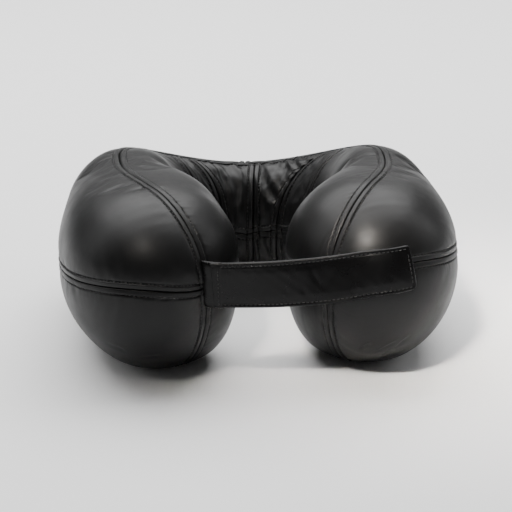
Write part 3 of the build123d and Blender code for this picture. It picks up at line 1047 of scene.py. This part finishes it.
def leather_material(name, colour, roughness, shine, grain=0.035 * MM):
    """Black nappa: a fine grain of pores with soft pebbles between, and a roughness that wanders where hands
    have polished it."""
    known = bpy.data.materials.get(name)
    if known:
        return known
    material, tree, shader, node = new_material(name, colour, roughness)
    place = node("ShaderNodeTexCoord").outputs["Object"]
    pores = node("ShaderNodeTexVoronoi", Vector=place, Scale=1500.0)
    pebbles = node("ShaderNodeTexNoise", Vector=place, Scale=420.0, Detail=5.0, Roughness=0.6)
    wear = node("ShaderNodeTexNoise", Vector=place, Scale=38.0, Detail=4.0, Roughness=0.6)
    worn, dull = roughness - 0.05, roughness + 0.08
    sheen = node(
        "ShaderNodeMapRange", Value=wear.outputs["Fac"], From_Min=0.3, From_Max=0.7, To_Min=worn, To_Max=dull
    )
    tree.links.new(sheen.outputs["Result"], shader.inputs["Roughness"])
    low = node("ShaderNodeBump", Height=pebbles.outputs["Fac"], Strength=0.5, Distance=grain * 3)
    high = node("ShaderNodeBump", Height=pores.outputs["Distance"], Strength=0.35, Distance=grain)
    tree.links.new(low.outputs["Normal"], high.inputs["Normal"])
    tree.links.new(high.outputs["Normal"], shader.inputs["Normal"])
    shader.inputs["Specular IOR Level"].default_value = shine
    return material


def cloth_material(name, colour, scale):
    """Cloth or tape: a rough surface with a fine fuzzy bump and no gloss."""
    material, tree, shader, node = new_material(name, colour, 0.9)
    place = node("ShaderNodeTexCoord").outputs["Object"]
    weave = node("ShaderNodeTexNoise", Vector=place, Scale=scale, Detail=3.0)
    bump = node("ShaderNodeBump", Height=weave.outputs["Fac"], Strength=0.6, Distance=0.1 * MM)
    tree.links.new(bump.outputs["Normal"], shader.inputs["Normal"])
    return material


def thread_material(finish):
    """Dark waxed thread, made once."""
    return bpy.data.materials.get("sewing_thread") or new_material("sewing_thread", finish.thread, 0.5)[0]


def cover_material(finish):
    """The cover's leather."""
    return leather_material("cover_nappa", finish.leather, finish.roughness, finish.shine)


# ---------------------------------------------------------------- the filling


def closed_tube(points):
    """Points and quads of a tube whose rings close and whose ends shrink to a point by a fan of quads."""
    rows, columns = points.shape[:2]
    index = np.arange(rows * columns).reshape(rows, columns)
    index = np.concatenate([index, index[:, :1]], 1)
    sides = np.stack([index[:-1, :-1], index[:-1, 1:], index[1:, 1:], index[1:, :-1]], -1).reshape(-1, 4)
    ends = []
    for pole, ring in ((rows * columns, index[0]), (rows * columns + 1, index[-1][::-1])):
        fan = np.stack([np.full(columns // 2, pole), ring[2::2], ring[1::2], ring[:-2:2]], -1)
        ends.append(fan)
    poles = points[[0, -1]].mean(1)
    return np.concatenate([points.reshape(-1, 3), poles]), np.concatenate([sides, *ends])


def filling(shape, name, node, depth, material, seed):
    """A soft piece inside the cover: the skin, set in by a depth, with the lumps of a stuffed bag."""
    s, v, flat, normal = whole_skin(shape, 90, 96, 0.03)
    lumps = 0.4 * MM * waves(np.random.default_rng(seed), s[:, None] / MM + 12 * np.sin(v), 31.0)
    points = flat - normal * (depth + lumps)[..., None]
    points[..., 2] = np.maximum(points[..., 2], depth)
    piece = mesh_piece(name, *closed_tube(points), material)
    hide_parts(node)


# ---------------------------------------------------------------- the studio


def sweep(material):
    """A pale floor that turns up into a backdrop far behind: a flat run and a quarter circle."""
    t = np.linspace(0, 1, 60)
    straight, radius = 5.0, 1.4
    travelled = t * (straight + radius * np.pi / 2 + 1.0)
    turn = np.clip((travelled - straight) / radius, 0, np.pi / 2)
    rise = np.clip(travelled - straight - radius * np.pi / 2, 0, None)
    y = -3.3 + np.minimum(travelled, straight) + radius * np.sin(turn)
    z = -0.0005 + radius * (1 - np.cos(turn)) + rise
    x = np.linspace(-3.5, 3.5, 12)
    points = np.stack(np.broadcast_arrays(x[None, :], y[:, None], z[:, None]), -1)
    faces = grid_faces(len(t), len(x), flip=True)
    return mesh_piece("studio_floor", points.reshape(-1, 3), faces, material, None)


def soft_light(name, place, aim, size, power, colour=(1, 1, 1), spread=180):
    """A rectangular area light of a size in metres and a power in watts, aimed at a point."""
    lamp = bpy.data.lights.new(name, "AREA")
    lamp.spread = np.radians(spread)
    lamp.shape = "RECTANGLE"
    lamp.size, lamp.size_y = size
    lamp.energy = power
    lamp.color = colour
    return aimed(bpy.data.objects.new(name, lamp), place, aim)


def aimed(item, place, aim):
    """Puts a light or a camera in its place, looking at its aim."""
    item.location = place
    item.rotation_euler = (Vector(aim) - Vector(place)).to_track_quat("-Z", "Y").to_euler()
    bpy.context.scene.collection.objects.link(item)
    return item


# ---------------------------------------------------------------- operators


class PILLOW_OT_stuffing_cloth(bpy.types.Operator):
    """Cloth of the whole cover, blown up between its pinned seams; its movement shapes the panels"""

    bl_idname = "pillow.stuffing_cloth"
    bl_label = "Stuffed cloth"

    def execute(self, context):
        shape, seams, _, _ = settings()
        laid["cloth"] = settle_cloth(shape, seams)
        return {"FINISHED"}


class PILLOW_OT_outer_panels(bpy.types.Operator):
    """Four outer panels, each the skin between the outer seams with rolled edges"""

    bl_idname = "pillow.outer_panels"
    bl_label = "Outer panels"

    def execute(self, context):
        shape, seams, _, finish = settings()
        outer_panels(shape, seams, cover_material(finish))
        return {"FINISHED"}


class PILLOW_OT_arm_panels(bpy.types.Operator):
    """Four inner arm panels, each the skin from the last cross seam to a tip"""

    bl_idname = "pillow.arm_panels"
    bl_label = "Arm panels"

    def execute(self, context):
        shape, seams, _, finish = settings()
        arm_panels(shape, seams, cover_material(finish))
        return {"FINISHED"}


class PILLOW_OT_gores(bpy.types.Operator):
    """Eight gathered gores, each the skin between two cross seams with folds from crest to waist"""

    bl_idname = "pillow.gores"
    bl_label = "Gathered gores"

    def execute(self, context):
        shape, seams, _, finish = settings()
        gore_panels(shape, seams, cover_material(finish))
        return {"FINISHED"}


class PILLOW_OT_top_stitches(bpy.types.Operator):
    """Top stitches on both sides of every seam, small arches set one pitch apart"""

    bl_idname = "pillow.top_stitches"
    bl_label = "Top stitches"

    def execute(self, context):
        if "outer_upper_left" not in laid:
            raise RuntimeError("lay the cover panels before their stitches")
        _, seams, _, finish = settings()
        stitch_cover(seams, thread_material(finish))
        return {"FINISHED"}


class PILLOW_OT_filling(bpy.types.Operator):
    """Liner bag and fibre, each the skin set in by a depth and closed at both tips"""

    bl_idname = "pillow.filling"
    bl_label = "Filling"

    def execute(self, context):
        shape = settings()[0]
        cotton = cloth_material("liner_cotton", (0.55, 0.55, 0.53), 1500.0)
        fibre = cloth_material("fibre", (0.8, 0.8, 0.78), 300.0)
        filling(shape, "cotton_liner", "liner_bag", 5.0 * MM, cotton, 3)
        filling(shape, "fibre_filling", "fibre_core", 6.4 * MM, fibre, 3)
        return {"FINISHED"}


class PILLOW_OT_strap(bpy.types.Operator):
    """Strap, its stitches, its tapes and its folded root, ribbons swept along the closing line"""

    bl_idname = "pillow.strap"
    bl_label = "Closing strap"

    def execute(self, context):
        shape, seams, strap, finish = settings()
        materials = {
            "strap": leather_material(
                "glossy_strap", finish.strap, finish.strap_roughness, finish.strap_shine, 0.02 * MM
            ),
            "lining": leather_material("thin_lining", finish.strap, 0.5, finish.strap_shine),
            "thread": thread_material(finish),
            "tape": cloth_material("brushed_pile", finish.tape, 900.0),
        }
        build_strap(shape, seams, strap, materials)
        return {"FINISHED"}


class PILLOW_OT_studio(bpy.types.Operator):
    """Pale sweep, soft lights and camera"""

    bl_idname = "pillow.studio"
    bl_label = "Studio"

    def execute(self, context):
        scene = context.scene
        finish = settings()[3]
        paper = new_material("backdrop_paper", finish.floor, 0.9)[0]
        warm = (1, 0.94, 0.86)
        items = [
            sweep(paper),
            soft_light("top_softbox", (-0.1, 0.75, 1.7), (0, 0.2, 0.0), (2.8, 2.0), 110.0),
            soft_light("key_softbox", (-0.25, -0.75, 1.12), (0.14, -0.08, 0.08), (0.24, 0.24), 0.5, warm, 14),
            soft_light("left_softbox", (-1.4, 0.1, 0.9), (0, 0, 0.08), (0.5, 1.2), 6.0),
            soft_light("right_softbox", (1.5, 0.3, 0.9), (0, 0, 0.08), (0.5, 1.0), 6.0),
        ]
        lens = bpy.data.cameras.new("camera")
        lens.lens, lens.sensor_width = 135.7, 36.0
        lens.shift_x, lens.shift_y = 0.0114, -0.0348
        stand, aim = (-0.0525, -1.4052, 0.5903), (-0.00346, -0.00104, 0.065)
        camera = aimed(bpy.data.objects.new("camera", lens), stand, aim)
        scene.camera = camera
        scene.world = bpy.data.worlds.new("studio_world")
        scene.world.use_nodes = True
        sky = scene.world.node_tree.nodes["Background"]
        sky.inputs["Color"].default_value = (1, 1, 1, 1)
        sky.inputs["Strength"].default_value = 0.1
        return {"FINISHED"}


class PILLOW_PT_builder(bpy.types.Panel):
    """Sizes and building steps of the pillow"""

    bl_label = "Neck Pillow"
    bl_idname = "PILLOW_PT_builder"
    bl_space_type = "VIEW_3D"
    bl_region_type = "UI"
    bl_category = "Neck Pillow"

    def draw(self, context):
        for step in steps:
            self.layout.operator(step.bl_idname)
        for group in (getattr(context.scene, name) for name in groups):
            box = self.layout.box()
            for name in group.__annotations__:
                box.prop(group, name)


groups = {
    "pillow_shape": PillowShape,
    "pillow_seams": SeamShape,
    "pillow_strap": StrapShape,
    "pillow_finish": PillowFinish,
}
steps = (
    PILLOW_OT_stuffing_cloth,
    PILLOW_OT_outer_panels,
    PILLOW_OT_arm_panels,
    PILLOW_OT_gores,
    PILLOW_OT_top_stitches,
    PILLOW_OT_filling,
    PILLOW_OT_strap,
    PILLOW_OT_studio,
)


def register():
    """Registers the classes and hangs each group of sizes on the scene."""
    for group in groups.values():
        bpy.utils.register_class(group)
    for step in (*steps, PILLOW_PT_builder):
        bpy.utils.register_class(step)
    for name, group in groups.items():
        setattr(bpy.types.Scene, name, PointerProperty(type=group))


def unregister():
    """Takes the groups off the scene and unregisters the classes."""
    for name in groups:
        delattr(bpy.types.Scene, name)
    for item in reversed((*groups.values(), *steps, PILLOW_PT_builder)):
        bpy.utils.unregister_class(item)


def main():
    """Builds the pillow step by step."""
    register()
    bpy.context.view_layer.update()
    bpy.ops.pillow.stuffing_cloth()
    bpy.ops.pillow.outer_panels()
    bpy.ops.pillow.arm_panels()
    bpy.ops.pillow.gores()
    bpy.ops.pillow.top_stitches()
    bpy.ops.pillow.filling()
    bpy.ops.pillow.strap()
    bpy.ops.pillow.studio()


if __name__ == "__main__":
    main()
